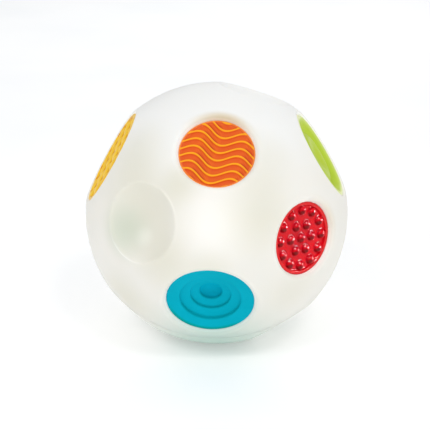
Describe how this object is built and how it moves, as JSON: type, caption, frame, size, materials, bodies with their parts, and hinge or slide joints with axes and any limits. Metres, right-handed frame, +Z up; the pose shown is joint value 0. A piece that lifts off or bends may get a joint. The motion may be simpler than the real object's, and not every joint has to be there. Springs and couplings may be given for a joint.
{
  "type": "light and sound sensory ball",
  "caption": "Hollow translucent play ball with coloured textured discs, finger dishes, a speaker grille, and a lit battery core behind a screwed door in its flat base ring.",
  "frame": {"origin": "centre of the flat ring that the ball stands on, on the plane of the ring", "axes": "+Z up through the ball's centre, -Y toward the front, where the picture's camera stands, +X to the right seen from the front"},
  "size_m": [0.14, 0.14, 0.1358],
  "materials": {
    "shell": "translucent milky white, soft satin",
    "orange_disc": "satin with lighter ridge tops",
    "blue_disc": "soft satin",
    "red_disc": "high gloss",
    "green_disc": "high gloss, translucent edge",
    "yellow_disc": "satin",
    "white_plastic": "moulded satin",
    "black_plastic": "moulded satin",
    "zinc_screw": "zinc plated",
    "spring_steel": "nickel plated",
    "cell_wrap": "plain printed sleeve",
    "board": "solder mask",
    "lamp": "lit lamp",
    "dome": "frosted diffuser",
    "brass_ball": "polished",
    "black_metal": "stamped basket, satin black",
    "cone_paper": "pressed paper",
    "red_wire": "insulated wire",
    "black_wire": "insulated wire",
    "seal_rubber": "flat seal"
  },
  "bodies": {
    "ball": {"front_shell": "shell", "rear_shell": "shell", "orange_wave_disc": "orange_disc", "blue_ring_disc": "blue_disc", "red_bump_disc": "red_disc", "green_ripple_disc": "green_disc", "yellow_pillow_disc": "yellow_disc", "disc_push_nuts": "spring_steel", "funnel_ring": "white_plastic", "shell_screws": "zinc_screw", "battery_housing": "white_plastic", "housing_screws": "zinc_screw", "battery_cells": "cell_wrap", "top_contacts": "spring_steel", "circuit_board": "board", "board_screws": "zinc_screw", "lamps": "lamp", "control_chip": "black_plastic", "light_dome": "dome", "sensor_can": "spring_steel", "speaker_frame": "black_metal", "speaker_cone": "cone_paper", "speaker_magnet": "spring_steel", "speaker_retainer": "white_plastic", "retainer_screws": "zinc_screw", "speaker_wires": "red_wire", "switch_body": "spring_steel", "switch_screws": "zinc_screw", "switch_wires": "black_wire"},
    "knob": {"power_knob": "black_plastic"},
    "door": {"battery_door": "white_plastic", "door_seal": "seal_rubber", "door_springs": "spring_steel"},
    "screw": {"door_screw": "zinc_screw"},
    "rattle_ball": {"sensor_ball": "brass_ball"}
  },
  "joints": [
    {"name": "knob_slide", "type": "slide", "parent": "ball", "child": "knob", "axis": [1, 0, 0], "range_m": [-0.004, 0]},
    {"name": "door_lift", "type": "slide", "parent": "ball", "child": "door", "axis": [0, 0, -1], "range_m": [0, 0.012]},
    {"name": "screw_turn", "type": "hinge", "parent": "door", "child": "screw", "pos_m": [0.0156, 0.004, 0.0019], "axis": [0, 0, -1], "continuous": true},
    {"name": "rattle_slide", "type": "slide", "parent": "ball", "child": "rattle_ball", "axis": [0, 0, 1], "range_m": [0, 0.0023]}
  ]
}
